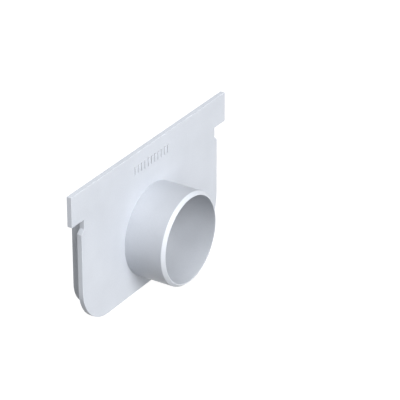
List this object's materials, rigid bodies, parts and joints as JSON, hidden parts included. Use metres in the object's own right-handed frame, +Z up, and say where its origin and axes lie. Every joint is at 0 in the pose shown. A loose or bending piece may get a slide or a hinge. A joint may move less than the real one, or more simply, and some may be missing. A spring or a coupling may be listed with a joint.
{
  "type": "drainage channel end cap with spigot outlet",
  "caption": "Flat plastic end cap for a drainage channel, with overhanging ears, notches, round bottom corners, a U-shaped locating rim behind and a round spigot outlet.",
  "frame": {"origin": "on the outlet's axis, in the plane of the plate's front face", "axes": "+Z up, +X across the width of the channel, -Y along the outlet's axis and out of its mouth, +Y into the channel"},
  "size_m": [0.1384, 0.0325, 0.0774],
  "materials": {
    "grey_pvc": "satin, with a fine moulded grain"
  },
  "bodies": {
    "root": {"end_plate": "grey_pvc", "outlet_spigot": "grey_pvc", "locating_rim": "grey_pvc"}
  },
  "joints": []
}
